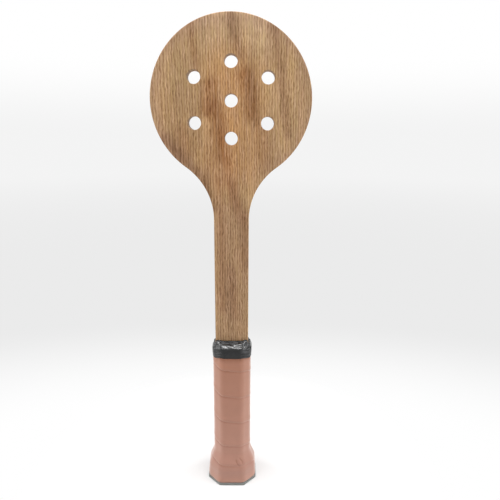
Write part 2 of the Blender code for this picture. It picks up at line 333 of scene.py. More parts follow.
def make_wood_figure():
    floats = ("Ring Spacing", "Waver", "Pore Width", "Pore Length")
    outputs = dict.fromkeys(("Streak", "Late", "Pores", "Fibre", "Strands", "Broad"), FLOAT)
    vectors = {"Pith": VECTOR, "Lean": VECTOR}
    g, given, ends = new_tree("ShaderNodeTree", "Wood figure", floats, vectors, outputs)
    place = g.place()
    leaning = place + given.Lean * g.split(place)[2]
    drift = g.noise(leaning * DRIFT_CELLS, output="Color") - (0.5, 0.5, 0.5)
    wood = leaning + drift * given.Waver
    ring = g.length((wood - given.Pith) * (1, 1, 0)) / given.Ring_Spacing
    ring = g.noise(wood * SHIFT_CELLS) * RING_SHIFT + ring
    phase = g.math("FRACT", ring)
    tone = g.add("ShaderNodeTexWhiteNoise", W=g.math("FLOOR", ring), noise_dimensions="1D")

    early = g.ramp(phase, *EARLY_BEGINS) * g.fall(phase, *EARLY_ENDS)
    dashes = g.ramp(g.noise(wood * DASH_CELLS), 0.36, 0.62, 0.18, 1.0)
    strength = dashes * g.ramp(tone, 0.0, 1.0, 0.65, 1.0, "LINEAR")
    g.feed(ends["Streak"], early * strength)

    late = g.ramp(phase, *LATE_BEGINS) * g.fall(phase, *LATE_ENDS)
    gleams = g.noise(wood * GLEAM_CELLS + GLEAM_START, detail=1)
    g.feed(ends["Late"], late * g.ramp(gleams, 0.40, 0.64))

    slim = 1.0 / given.Pore_Width
    cells = g.noise(wood * g.join(slim, slim, 1.0 / given.Pore_Length), detail=1)
    g.feed(ends["Pores"], g.ramp(cells, 0.54, 0.66) * (early * 0.85 + 0.15))
    g.feed(ends["Fibre"], g.noise(wood * FIBRE_CELLS))
    g.feed(ends["Strands"], g.noise(wood * STRAND_CELLS, detail=3, roughness=0.6))
    g.feed(ends["Broad"], g.noise(wood * BROAD_CELLS, detail=3))
    return g.tree


wood_figure = make_wood_figure()
print("wood figure:", len(wood_figure.nodes), "nodes")

# %% [markdown]
# ## Mineral streaks and bands of painted light
#
# Oak draws minerals up from the ground, and they leave soft brown and reddish bands that cross the grain at
# a slant. Plain noise puts them anywhere, so each band here has its own place: a start and an end on the
# face and a width, with a ragged edge from noise that is stretched along the grain. The same bands also
# carry painted light and painted shade, such as a paler top of the head and a darker shaft.

# %% The mineral streak group
RAGGED_CELLS = (330, 330, 24)


def make_streak_band():
    sizes = ("Width", "Ragged")
    points = {"Start": VECTOR, "End": VECTOR}
    g, given, ends = new_tree("ShaderNodeTree", "Mineral streak", sizes, points, {"Mask": FLOAT})
    place = g.place()
    rough = g.noise(place * RAGGED_CELLS, detail=4, roughness=0.7) - 0.5
    run = given.End - given.Start
    out = place * (1, 0, 1) - given.Start
    share = g.dot(out, run) / g.dot(run, run)
    nearest = run * g.ramp(share, 0.0, 1.0, shape="LINEAR")
    distance = g.length(out - nearest) + rough * given.Ragged
    g.feed(ends["Mask"], g.fall(distance, 0.0, given.Width))
    return g.tree


streak_band = make_streak_band()
print("mineral streak:", len(streak_band.nodes), "nodes")

# %% [markdown]
# ## Oiled oak
#
# The board is rift-sawn oak with a thin coat of oil: pale brown between the rings and darker in the rows of
# pores. Over that come the streaks: most are mineral stains, some are patches that sun has bleached or
# hands have warmed. A pale patch over the top of the head is painted light, and a darker band down the
# shaft and a greyer rim round the head are painted shade. The pores also press the surface in a little,
# and the oil leaves it satin.

# %% The oak material
OAK_PALE = (0.464, 0.293, 0.143, 1)
OAK_RING = (0.270, 0.146, 0.058, 1)
OAK_PORE = (0.15, 0.074, 0.032, 1)
OAK_LATE = (0.66, 0.45, 0.26, 1)
# Painted light: a paler tint for the top of the head, as if more light fell on it from above.
TOP_LIGHT_TINT = (1.02, 1.06, 1.18, 1)
SUN_BLEACH = (1.34, 1.40, 1.42, 1)
WARM_TINT = (1.03, 0.87, 0.75, 1)
# Painted shade: a darker, greyer tint for the shaft.
SHAFT_SHADE_TINT = (0.77, 0.72, 0.77, 1)
LEFT_TINT = (0.89, 0.84, 0.80, 1)
# Painted shade: a greyer tint for the rim of the head.
RIM_SHADE_TINT = (0.93, 0.91, 1.02, 1)
PINK_BLUSH = (1.0, 0.98, 1.05, 1)
YELLOW_BLUSH = (1.0, 1.01, 0.95, 1)
GREY_STAIN = (0.60, 0.52, 0.50, 1)
FAINT_STAIN = (0.80, 0.71, 0.68, 1)
BROWN_STAIN = (0.57, 0.43, 0.33, 1)
RED_STAIN = (0.60, 0.45, 0.33, 1)
DARK_STAIN = (0.58, 0.49, 0.46, 1)
# Painted shade greys the rim of the head, where its rounded edge turns from the light: from this far out,
# and from between these heights up.
RIM_SHADE_BEGINS = 56 * MM
RIM_SHADE_HEIGHTS = (300 * MM, 340 * MM)
# The values that most noise lies between.
MOST_NOISE = (0.3, 0.7)

# Each streak: tint, half width, raggedness and the points it runs through on the face, in millimetres.
STAINS_AND_PAINTED_LIGHT = [
    # Painted light: the top of the head paler, as if more light fell on it from above.
    (TOP_LIGHT_TINT, 11, 16, [(-18, 438), (18, 440), (28, 426)]),
    (WARM_TINT, 22, 16, [(0, 396), (0, 328)]),
    # Painted shade: the shaft darker, as if less light fell on it than on the head.
    (SHAFT_SHADE_TINT, 20, 10, [(0, 268), (0, 150)]),
    (SUN_BLEACH, 8, 10, [(22, 452), (24, 430)]),
    (SUN_BLEACH, 3.5, 6, [(-22, 449), (18, 451)]),
    (LEFT_TINT, 12, 16, [(-52, 378), (-43, 346)]),
    (GREY_STAIN, 4, 9, [(0, 446), (1, 440), (4, 430), (8, 416)]),
    (BROWN_STAIN, 6.5, 12, [(13, 402), (17, 391), (18, 380), (19, 368)]),
    (GREY_STAIN, 3.8, 8, [(36, 440), (38, 426), (41, 412), (43, 402), (45, 388), (47, 372), (50, 352)]),
    (FAINT_STAIN, 3, 8, [(-34, 440), (-31, 420), (-29, 408)]),
    (RED_STAIN, 5.5, 12, [(-18, 393), (-19, 386), (-21, 372)]),
    (RED_STAIN, 6, 12, [(-14, 375), (-11, 360), (-8, 345), (-7, 333)]),
    (FAINT_STAIN, 5, 12, [(-4, 326), (-2, 312), (2, 294), (8, 278)]),
    (FAINT_STAIN, 4, 10, [(0, 308), (5, 288)]),
    (DARK_STAIN, 5, 8, [(-57, 347), (-50, 338), (-41, 327)]),
    (FAINT_STAIN, 6.5, 10, [(-43, 352), (-40, 336)]),
    (GREY_STAIN, 4.5, 10, [(-34, 321), (-28, 314), (-20, 300), (-16, 286)]),
    (LEFT_TINT, 8, 12, [(-20, 328), (-20, 308)]),
    (FAINT_STAIN, 7, 12, [(28, 356), (30, 330)]),
    (FAINT_STAIN, 4, 8, [(12, 280), (13, 232)]),
    (FAINT_STAIN, 4, 10, [(-1, 228), (2, 180)]),
    (FAINT_STAIN, 4, 8, [(-10, 312), (-9, 188)]),
]


def streak_mask(g, points, width, ragged):
    """One streak through all its points: 1 along its middle, 0 beyond its ragged edge."""
    places = [(x * MM, 0, z * MM) for x, z in points]
    mask = 0.0
    for start, end in zip(places, places[1:]):
        sizes = {"Width": 2 * width * MM, "Ragged": ragged * MM}
        mask = g.math("MAXIMUM", mask, g.group(streak_band, Start=start, End=end, **sizes).Mask)
    return mask


def make_oak():
    material, g, shader = new_material("oiled oak", IOR=1.5, Specular_IOR_Level=0.35)
    figure = g.group(
        wood_figure,
        Pith=(-0.30, 0.22, 0.0),
        Lean=(0.004, 0.0, 0.0),
        Ring_Spacing=1.85 * MM,
        Waver=5 * MM,
        Pore_Width=0.30 * MM,
        Pore_Length=5 * MM,
    )
    colour = g.blend(figure.Streak, OAK_PALE, OAK_RING)
    colour = g.blend(figure.Late * 0.6, colour, OAK_LATE)
    colour = g.blend(figure.Pores * 0.45, colour, OAK_PORE)
    strands = figure.Streak * 0.22 + g.ramp(figure.Strands, 0.35, 0.62, 0.5, 0.95)
    # Most streaks are stains. Some are painted light and painted shade: a paler top of the head and a darker
    # shaft.
    for tint, width, ragged, points in STAINS_AND_PAINTED_LIGHT:
        colour = g.tint(colour, streak_mask(g, points, width, ragged) * strands, tint)
    x, _, z = g.split(g.place())
    # Painted shade: a greyer rim round the upper head.
    from_middle = g.length(g.join(x, 0.0, z - HEAD_HEIGHT))
    shaded_rim = g.ramp(from_middle, RIM_SHADE_BEGINS, HEAD_RADIUS) * g.ramp(z, *RIM_SHADE_HEIGHTS)
    colour = g.tint(colour, shaded_rim, RIM_SHADE_TINT)
    blush = g.blend(g.ramp(figure.Strands, 0.35, 0.65), PINK_BLUSH, YELLOW_BLUSH)
    colour = g.tint(colour, 1.0, blush)
    light = g.ramp(figure.Fibre, *MOST_NOISE, 0.94, 1.06)
    light = light + g.ramp(figure.Broad, *MOST_NOISE, -0.10, 0.10)
    g.feed(shader["Base Color"], g.tint(colour, 1.0, g.grey(light)))
    g.feed(shader["Roughness"], g.ramp(figure.Fibre, 0.2, 0.8, 0.46, 0.62))
    g.bump(shader, figure.Fibre * 0.25 - figure.Pores, strength=0.35, distance=0.06 * MM)
    return material


oak = make_oak()
print("oak:", len(oak.node_tree.nodes), "nodes,", len(STAINS_AND_PAINTED_LIGHT), "mineral streaks")

# %% [markdown]
# ## The drilled board
#
# The blade is one board: a round head, a fillet at each side of the neck, a straight shaft and, inside the
# handle, a tang. A Boolean with seven cutters would drill it, but it leaves the rims of the holes sharp or
# badly shaded. Here a geometry node tree does what a router does. It takes the outline and the places of
# the holes as one flat drawing, fills the face between them, and runs one rounded edge profile along every
# rim, outside and inside alike. Two support lines beside each rounding keep the flats shaded flat.

# %% The geometry nodes that cut and drill a board
def make_drilled_board_tree():
    floats = ("Thickness", "Edge Radius", "Hole Radius", "Hole Ease", "Support")
    others = {"Drawing": GEOMETRY, "Edge Steps": COUNT, "Hole Steps": COUNT, "Material": MATERIAL}
    g, given, ends = new_tree("GeometryNodeTree", "Drilled board", floats, others, {"Board": GEOMETRY})

    # Rims: the outline, and a circle on each point of the drawing that has no edge.
    outline = g.shape("MeshToCurve", Mesh=given.Drawing)
    neighbours = g.shape("InputMeshVertexNeighbors")
    alone = g.add("FunctionNodeCompare", {2: neighbours, 3: 0}, data_type="INT", operation="EQUAL")
    marks = g.shape("MeshToPoints", Mesh=given.Drawing, Selection=alone)
    circle = g.shape("CurvePrimitiveCircle", Resolution=given.Hole_Steps, Radius=given.Hole_Radius)
    circle = g.shape("ReverseCurve", Curve=circle)
    holes = g.shape("InstanceOnPoints", Points=marks, Instance=circle)
    holes = g.shape("RealizeInstances", Geometry=holes)
    holes = g.keep(holes, "ease", given.Hole_Ease)
    rims = g.gather(holes, g.keep(outline, "ease", given.Edge_Radius))
    tangent = g.shape("InputTangent")
    rims = g.keep(rims, "out", g.vector("CROSS_PRODUCT", tangent, (0, 0, 1)), "FLOAT_VECTOR")
    rims = g.keep(rims, "spot", g.shape("InputPosition"), "FLOAT_VECTOR")

    # The edge: rows from the front face round to the back face.
    steps = given.Edge_Steps
    last = steps * 2.0 + 5.0
    profile = g.shape("CurvePrimitiveLine")
    profile = g.shape("ResampleCurve", Curve=profile, Count=last + 1.0)
    profile = g.keep(profile, "row", g.shape("InputIndex"))
    edge = g.shape("CurveToMesh", Curve=rims, Profile_Curve=profile)
    row = g.kept("row")
    ease = g.kept("ease")
    out = g.kept("out", "FLOAT_VECTOR")
    from_face = g.math("MINIMUM", row, last - row)
    side = g.math("SIGN", last * 0.5 - row)
    bend = g.math("MINIMUM", g.math("MAXIMUM", from_face - 1.0, 0.0), steps)
    angle = bend / steps * (math.pi / 2)
    on_face = g.math("LESS_THAN", from_face, 0.5)
    on_wall = g.math("GREATER_THAN", from_face, steps + 1.5)
    half = given.Thickness * 0.5
    inset = (g.math("SINE", angle) - 1.0) * ease - on_face * given.Support
    lift = (g.math("COSINE", angle) - 1.0) * ease + half - on_wall * given.Support
    place = g.kept("spot", "FLOAT_VECTOR") + out * inset + g.join(0.0, 0.0, lift * side)
    edge = g.shape("SetPosition", Geometry=edge, Position=place)

    # The two faces: the rims drawn in to the support line, and filled.
    drawn_in = out * ((ease + given.Support) * -1.0)
    inner = g.shape("SetPosition", Geometry=rims, Offset=drawn_in)
    face = g.shape("FillCurve", Curve=inner, mode="TRIANGLES")
    up = g.join(0.0, 0.0, half)
    front = g.shape("Transform", Geometry=face, Translation=up)
    back = g.shape("Transform", Geometry=face, Translation=up * -1.0)
    back = g.shape("FlipFaces", Mesh=back)
    board = g.gather(edge, front, back)
    board = g.shape("Transform", Geometry=board, Rotation=(math.pi / 2, 0, 0))
    g.deliver(board, ("ease", "out", "spot", "row"), given.Material, ends["Board"])
    return g.tree


# %% Objects and meshes
def add_object(name, data):
    obj = bpy.data.objects.new(name, data)
    bpy.context.scene.collection.objects.link(obj)
    return obj


def new_mesh(name, points, faces=(), loop=0):
    """A mesh with these faces, or with edges that join its first points in a loop."""
    mesh = bpy.data.meshes.new(name)
    mesh.from_pydata(points, [(i, (i + 1) % loop) for i in range(loop)], faces)
    return mesh


def smooth_piece(name, mesh, crease, material):
    """An object with a smooth skin. Edges that bend more than the crease, in degrees, stay crisp."""
    mesh.shade_smooth()
    mesh.set_sharp_from_angle(angle=math.radians(crease))
    mesh.materials.append(material)
    return add_object(name, mesh)


def run_tree(name, tree, mesh, **sizes):
    """Runs a geometry node tree once on a mesh and keeps what it makes as a plain mesh."""
    piece = add_object(name, mesh)
    modifier = piece.modifiers.new(tree.name, "NODES")
    modifier.node_group = tree
    inputs = {item.name: item.identifier for item in tree.interface.items_tree if item.in_out == "INPUT"}
    for label, value in sizes.items():
        modifier[inputs[spaced(label)]] = value
    evaluated = piece.evaluated_get(bpy.context.evaluated_depsgraph_get())
    piece_mesh = bpy.data.meshes.new_from_object(evaluated)
    piece.modifiers.clear()
    piece.data = piece_mesh
    piece_mesh.name = name
    print(f"{name}: {len(piece_mesh.vertices)} points, {len(piece_mesh.polygons)} faces")
    return piece


# %% The outline of the board, drawn flat
HEAD_STEPS = 150
NECK_STEPS = 40


def arc(centre, radius, start, end, steps):
    """Points on an arc, both ends included."""
    angles = np.linspace(start, end, steps + 1)
    return np.column_stack((centre[0] + radius * np.cos(angles), centre[1] + radius * np.sin(angles)))


def board_outline():
    """The board as (across, height): up the right side, over the head and down the left side."""
    shoulder = CAP_HEIGHT + FIT_GAP
    beside = HALF_SHAFT + NECK_RADIUS
    below = math.sqrt((HEAD_RADIUS + NECK_RADIUS) ** 2 - beside**2)
    meeting = math.atan2(below, -beside)
    right = np.vstack(
        (
            [(HALF_TANG, TANG_FOOT), (HALF_TANG, shoulder), (HALF_SHAFT, shoulder)],
            arc((beside, HEAD_HEIGHT - below), NECK_RADIUS, math.pi, meeting, NECK_STEPS),
            arc((0, HEAD_HEIGHT), HEAD_RADIUS, meeting - math.pi, math.pi / 2, HEAD_STEPS)[1:],
        )
    )
    return np.vstack((right, right[-2::-1] * (-1, 1)))


def board_drawing():
    """A flat mesh: the outline as a closed loop of edges, and a lone point in the middle of each hole."""
    outline = board_outline()
    openings = frame["record"]["physics"]["openings"]
    middles = [np.mean(opening["box_m"], axis=0) for opening in openings]
    points = [(x, z, 0) for x, z in outline] + [(x, z, 0) for x, _, z in middles]
    print(f"drawing: outline of {len(outline)} points, {len(middles)} holes")
    return new_mesh("board drawing", points, loop=len(outline))


# %% Cut and drill the board
board = run_tree(
    "oak_blade",
    make_drilled_board_tree(),
    board_drawing(),
    Thickness=2 * HALF_BOARD,
    Edge_Radius=0.6 * MM,
    Hole_Radius=5.8 * MM,
    Hole_Ease=0.4 * MM,
    Support=0.15 * MM,
    Edge_Steps=5,
    Hole_Steps=72,
    Material=oak,
)

# %% [markdown]
# ## The handle's section
#
# Under the wraps the handle is an octagon: the tang, a scale glued to each of its faces, and long bevels.
# At the butt a moulded cap goes over it and flares. Everything that is wound on the handle follows this
# form, so it is worth one function: the section at any height, grown by any depth, with round corners.
# A wrap pulled tight never follows a crisp corner, so each soft layer can round the corners off further.
# The outline runs clockwise seen from above and starts at the front left, as the grip is wound.

# %% The section at any height and depth
CORNER_RADIUS = 0.5 * MM
CORNER_STEPS = 8
MITRE = 2 - math.sqrt(2)
FLARE_FOOT = 14 * MM
FLARE_TOP = 34 * MM
BUTT_FLARE = 5.2 * MM
BUTT_DRAFT = 0.8 * MM
FRONT_LEFT = 5


def smooth_step(share):
    share = np.clip(share, 0, 1)
    return share * share * (3 - 2 * share)


def flare(height):
    """How far the cap spreads the section at this height."""
    spread = BUTT_FLARE * smooth_step((FLARE_TOP - height) / (FLARE_TOP - FLARE_FOOT))
    return spread + BUTT_DRAFT * max(1 - height / FLARE_FOOT, 0)


def handle_outline(spread, depth, soft=0.0):
    """The octagon spread by a flare and grown by the depth of what lies on it. Softness rounds it."""
    grown = spread - CORNER_RADIUS - soft
    side = HALF_SHAFT + grown
    front = HALF_DEPTH + grown
    bevel = SCALE_THICKNESS + MITRE * grown
    low = front - bevel
    near = side - bevel
    corners = [(side, low), (near, front), (-near, front), (-side, low)]
    corners += [(-x, -y) for x, y in corners]
    radius = CORNER_RADIUS + soft + depth
    rounds = []
    for step in range(8):
        corner = (FRONT_LEFT - step) % 8
        start = math.radians(45 * (corner + 1))
        rounds.append(arc(corners[corner], radius, start, start - math.pi / 4, CORNER_STEPS))
    return np.vstack(rounds)


def at_height(outline, height):
    return [(x, y, height) for x, y in outline]


wide, deep = 1000 * np.ptp(handle_outline(0, 0), axis=0)
print(f"bare handle: {wide:.1f} by {deep:.1f} mm")

# %% [markdown]
# ## Soft moulded skins
#
# The overgrip, the cushion under it, the rubber cap and the vinyl tape are different plastics, but all
# have a skin that is never quite even: a fine grain of cells and broad, faint blotches. One group makes
# both, and each material sets the size of its own cells and blotches.

# %% The moulded skin group
def make_moulded_skin():
    sizes = ("Cell Size", "Blotch Size")
    outputs = {"Cells": FLOAT, "Blotch": FLOAT}
    g, given, ends = new_tree("ShaderNodeTree", "Moulded skin", sizes, {}, outputs)
    place = g.place()
    finely = place * (1.0 / given.Cell_Size)
    cells = g.add("ShaderNodeTexVoronoi", Vector=finely, Scale=1.0, output="Distance")
    g.feed(ends["Cells"], cells * 0.6 + g.noise(finely, scale=0.6) * 0.8)
    broadly = place * (1.0 / given.Blotch_Size)
    g.feed(ends["Blotch"], g.noise(broadly, detail=3, roughness=0.55))
    return g.tree


moulded_skin = make_moulded_skin()
print("moulded skin:", len(moulded_skin.nodes), "nodes")

# %% [markdown]
# ## The salmon overgrip's skin
#
# An overgrip is a thin strip of foamed plastic with a dry, slightly tacky skin. Light that grazes it comes
# back as a pale bloom, which the shader's sheen gives. Painted shade browns it towards the top and greys
# it over the flare. The edge of the strip rubs pale, and dirt and painted shade darken the step below each
# seam and the dips of the crease. The strip's own mesh carries how far each point is from its edge and
# from the seam above it, so the paint finds these places by itself.

# %% The overgrip material
SALMON_PALE = (0.384, 0.182, 0.126, 1)
SALMON_DEEP = (0.360, 0.168, 0.114, 1)
SALMON_RUBBED = (0.45, 0.245, 0.185, 1)
SALMON_BLOOM = (1.0, 0.9, 0.86, 1)
# Dirt and painted shade below the seams, and painted shade in the dips of the crease.
SEAM_DIRT_AND_SHADE = (0.80, 0.73, 0.68, 1)
# Painted shade: greyer over the flare.
FLARE_SHADE_GREY = (0.89, 0.92, 0.95, 1)
# Painted shade: browner towards the top of the grip.
TOP_SHADE_BROWN = (0.92, 0.83, 0.70, 1)
TAPE_SHADE = (0.84, 0.74, 0.64, 1)
# How far in from its edge the strip is rubbed, and how far below a seam dirt and painted shade darken it.
RUBBED_REACH = (0.1 * MM, 0.9 * MM)
SEAM_DIRT_AND_SHADE_REACH = (0.2 * MM, 3.0 * MM)
# The dirt and painted shade below the seams fade between these places, from the left to the right side.
SEAM_DIRT_AND_SHADE_SIDES = (-14 * MM, 10 * MM)
# Heights between which the painted shade over the flare begins and ends, and the painted shade towards the
# top begins.
FLARE_SHADE_BEGINS = (4 * MM, 14 * MM)
FLARE_SHADE_ENDS = (26 * MM, 36 * MM)
TOP_SHADE_BEGINS = (30 * MM, 140 * MM)
TAPE_SHADE_REACH = 6 * MM


def make_salmon():
    bloom = {"Sheen_Weight": 0.62, "Sheen_Roughness": 0.5, "Sheen_Tint": SALMON_BLOOM}
    material, g, shader = new_material("salmon overgrip", IOR=1.46, Specular_IOR_Level=0.4, **bloom)
    skin = g.group(moulded_skin, Cell_Size=0.35 * MM, Blotch_Size=14 * MM)
    sideways, _, height = g.split(g.place())
    rubbed = g.ramp(g.attribute("from_edge"), *RUBBED_REACH, 0.15, 0.0)
    flare_shade = g.ramp(height, *FLARE_SHADE_BEGINS) * g.fall(height, *FLARE_SHADE_ENDS)
    top_shade = g.ramp(height, *TOP_SHADE_BEGINS, shape="LINEAR")
    patchy = g.ramp(skin.Blotch, 0.35, 0.6, 0.4, 1.0) * g.ramp(sideways, *SEAM_DIRT_AND_SHADE_SIDES, 1.0, 0.25)
    # Dirt and painted shade below each seam, and painted shade in the dips of the crease.
    dirt_and_shade_below_seam = g.fall(g.attribute("to_seam"), *SEAM_DIRT_AND_SHADE_REACH) * patchy
    dirt_and_shade = g.math("MAXIMUM", dirt_and_shade_below_seam, g.ramp(g.attribute("fold"), -0.1, -0.7))
    under_tape = g.ramp(height, TAPE_FOOT - TAPE_SHADE_REACH, TAPE_FOOT)
    colour = g.blend(g.ramp(skin.Blotch, 0.32, 0.68), SALMON_DEEP, SALMON_PALE)
    colour = g.blend(rubbed, colour, SALMON_RUBBED)
    # Painted shade: greyer over the flare.
    colour = g.tint(colour, flare_shade, FLARE_SHADE_GREY)
    # Painted shade: browner towards the top.
    colour = g.tint(colour, top_shade, TOP_SHADE_BROWN)
    colour = g.tint(colour, dirt_and_shade, SEAM_DIRT_AND_SHADE)
    g.feed(shader["Base Color"], g.tint(colour, under_tape, TAPE_SHADE))
    g.feed(shader["Roughness"], g.ramp(skin.Blotch, *MOST_NOISE, 0.52, 0.66))
    g.bump(shader, skin.Cells, strength=0.3, distance=0.05 * MM)
    return material


salmon = make_salmon()
print("salmon overgrip:", len(salmon.node_tree.nodes), "nodes")

# %% [markdown]
# ## The other skins
#
# The cushion strip hides under the overgrip, the cap shows as a dark grey rim under it, and the tape is
# stretched vinyl with a gloss that breaks up in fine lines along the pull. Towards its sides the tape has
# lighter lines painted on, a painted highlight where its ripples would catch light from the sides. Each
# takes the moulded skin group and sets its own colours and gloss.

# %% Cushion, cap and tape materials
CUSHION_PALE = (0.03, 0.03, 0.032, 1)
CUSHION_DEEP = (0.018, 0.018, 0.02, 1)
CAP_PALE = (0.20, 0.206, 0.192, 1)
CAP_DEEP = (0.165, 0.172, 0.16, 1)
VINYL_PALE = (0.008, 0.0083, 0.0088, 1)
VINYL_DEEP = (0.004, 0.0042, 0.0045, 1)
# Painted highlight: the colour of lighter lines towards the tape's sides.
VINYL_SIDE_GLINT = (0.06, 0.061, 0.064, 1)
VINYL_DUST = (0.058, 0.060, 0.064, 1)
PULL_CELLS = (70, 900, 0)
# Dust lies where the film is this level, and lines of painted highlight, where the stretched film's ripples
# catch side light, show this far to the sides.
DUSTY_LEVEL = (0.88, 0.98)
SIDE_GLINT_REACH = (7 * MM, 12 * MM)


def make_skin(name, pale, deep, cell, blotch, roughness, depth, specular):
    """A moulded plastic: two tones in blotches, a gloss that follows them and a grain of cells."""
    material, g, shader = new_material(name, Specular_IOR_Level=specular)
    skin = g.group(moulded_skin, Cell_Size=cell, Blotch_Size=blotch)
    g.feed(shader["Base Color"], g.blend(g.ramp(skin.Blotch, *MOST_NOISE), deep, pale))
    g.feed(shader["Roughness"], g.ramp(skin.Blotch, *MOST_NOISE, *roughness))
    g.bump(shader, skin.Cells, strength=0.4, distance=depth)
    return material


def make_vinyl():
    material, g, shader = new_material("black vinyl", IOR=1.46, Specular_IOR_Level=0.5)
    skin = g.group(moulded_skin, Cell_Size=0.6 * MM, Blotch_Size=5 * MM)
    pull = g.attribute("pull", "Vector")
    lines = g.noise(pull * PULL_CELLS, detail=3)
    level = g.ramp(g.split(pull)[2], *DUSTY_LEVEL)
    beside = g.math("ABSOLUTE", g.split(g.place())[0])
    # Painted highlight: lighter lines towards the sides of the tape.
    side_glints = g.ramp(lines, 0.48, 0.62) * g.ramp(beside, *SIDE_GLINT_REACH)
    dusty = level * g.ramp(skin.Blotch, 0.42, 0.6)
    colour = g.blend(g.ramp(skin.Blotch, *MOST_NOISE), VINYL_DEEP, VINYL_PALE)
    colour = g.blend(side_glints * 0.7, colour, VINYL_SIDE_GLINT)
    g.feed(shader["Base Color"], g.blend(dusty, colour, VINYL_DUST))
    g.feed(shader["Roughness"], g.mix(level, 0.14, 0.56) + g.ramp(lines, *MOST_NOISE, -0.04, 0.06))
    g.bump(shader, lines * 0.8 + skin.Cells * 0.5, strength=0.12, distance=0.06 * MM)
    return material


cushion = make_skin(
    "cushion strip",
    CUSHION_PALE,
    CUSHION_DEEP,
    cell=0.5 * MM,
    blotch=9 * MM,
    roughness=(0.65, 0.8),
    depth=0.08 * MM,
    specular=0.3,
)
cap_rubber = make_skin(
    "cap rubber",
    CAP_PALE,
    CAP_DEEP,
    cell=0.3 * MM,
    blotch=7 * MM,
    roughness=(0.5, 0.7),
    depth=0.05 * MM,
    specular=0.4,
)
vinyl = make_vinyl()
print("skins:", ", ".join(skin.name for skin in (cushion, cap_rubber, vinyl)))

# %% [markdown]
# ## A strip wound on a form
#
# Both wraps are one long strip each, wound in a spiral. A stack of rings would look alike from far off but
# has no beginning, no end and no slanting seam. The tree below takes a flat grid as the strip. One
# direction of the grid is the way round: it gives the turn, and from it the height of the strip's edges.
# A ray from the handle's middle finds the form at that place, and the strip is laid there. Each turn's
# lower edge climbs over the upper edge of the turn below, so the strip rises there and its other edge is
# tucked under. At the end the grid gets its thickness, thinner and rounded towards the edges, as a cut
# strip has.

# %% The geometry nodes that wind a strip
FRONT_SHARE = 0.90
CREASE_PLACE = (7.6 * MM, -17.5 * MM, 25.2 * MM)
CREASE_WAY = (0.85, 0.0, 0.5)
CREASE_SPACING = 4.4 * MM
CREASE_START = 1.5 * MM
CREASE_WAVER = 3 * MM
CREASE_CELLS = 250.0
CREASE_FADE = (1.0 * MM, 6.5 * MM)
SWAY_CELLS = 7.0
RIPPLE_CELLS = (16.0, 160.0, 0.0)
# How far beyond the lap the strip still rises and dips, and the share of a turn in which the rise begins.
RISE_REACH = 5 * MM
TUCK_REACH = 2 * MM
RISE_BEGINS = 0.03
# The share of its thickness that the strip keeps at a cut edge, from the left to the right side.
CUT_SIDES = (-14 * MM, 4 * MM)
CUT_SHARES = (0.35, 0.03)
# A rough length of a strip, to tell how far a point is from its ends.
ROUGH_LENGTH = 0.7


